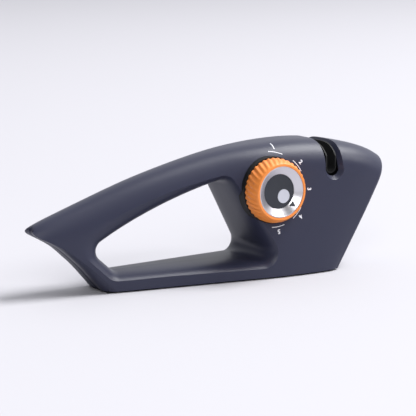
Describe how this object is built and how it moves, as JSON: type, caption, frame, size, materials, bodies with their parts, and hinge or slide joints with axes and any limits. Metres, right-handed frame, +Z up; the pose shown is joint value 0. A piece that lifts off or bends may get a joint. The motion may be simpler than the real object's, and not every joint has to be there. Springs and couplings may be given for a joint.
{
  "type": "manual knife sharpener",
  "caption": "Counter-top knife and scissors sharpener with a closed hand grip, a blade slot across the head and a fluted selector dial that turns a drum of sharpening elements.",
  "frame": {"origin": "middle of the base pad on the surface it stands on, in the joint plane of the two shells", "axes": "+X along the body to the nose with the blade slot, -Y to the dial side, +Z up"},
  "size_m": [0.2236, 0.0576, 0.076],
  "materials": {
    "shell_plastic": "soft-touch matt",
    "pad_rubber": "matt",
    "guide_plastic": "satin",
    "bezel_plastic": "matt",
    "grip_plastic": "satin",
    "ring_metal": "turned",
    "disc_plastic": "satin",
    "dot_plastic": "satin",
    "pointer_plastic": "satin",
    "gear_plastic": "satin",
    "brass": "turned",
    "steel": "ground",
    "drum_plastic": "satin",
    "carbide": "ground",
    "coarse_abrasive": "fine grit",
    "ceramic": "smooth"
  },
  "bodies": {
    "housing": {"front_housing": "shell_plastic", "rear_housing": "shell_plastic", "base_pad": "pad_rubber", "blade_guide": "guide_plastic", "dial_bezel": "bezel_plastic", "dial_bush": "brass", "idler_pin": "steel", "idler_clip": "steel", "detent_spring": "steel", "housing_screws": "steel", "screw_plugs": "shell_plastic", "turret_axle": "steel", "turret_washers": "gear_plastic"},
    "dial": {"dial_grip": "grip_plastic", "dial_ring": "ring_metal", "dial_pointer": "pointer_plastic", "dial_disc": "disc_plastic", "dial_dot": "dot_plastic", "dial_spindle": "steel", "dial_screw": "steel", "spindle_clip": "steel", "dial_gear": "gear_plastic", "detent_wheel": "gear_plastic"},
    "idler": {"idler_gear": "brass"},
    "turret": {"turret_drum": "drum_plastic", "turret_gear": "gear_plastic", "bread_knife_rods": "ceramic", "fine_rods": "ceramic", "coarse_rods": "coarse_abrasive", "carbide_blades": "carbide", "scissor_blades": "carbide"}
  },
  "joints": [
    {"name": "dial_turn", "type": "hinge", "parent": "housing", "child": "dial", "pos_m": [0.03, 0, 0.05016], "axis": [0, -1, 0], "range_deg": [-40, 120], "deforming": ["detent_spring"]},
    {"name": "idler_turn", "type": "hinge", "parent": "housing", "child": "idler", "pos_m": [0.05331, 0, 0.04294], "axis": [0, -1, 0], "range_deg": [-141, 47]},
    {"name": "turret_turn", "type": "hinge", "parent": "housing", "child": "turret", "pos_m": [0.07179, 0, 0.04454], "axis": [0, -1, 0], "range_deg": [-72.5, 216.5]}
  ],
  "couplings": [
    {"joint": "idler_turn", "follows": "dial_turn", "ratio": -1.1739},
    {"joint": "turret_turn", "follows": "dial_turn", "ratio": 1.8}
  ]
}
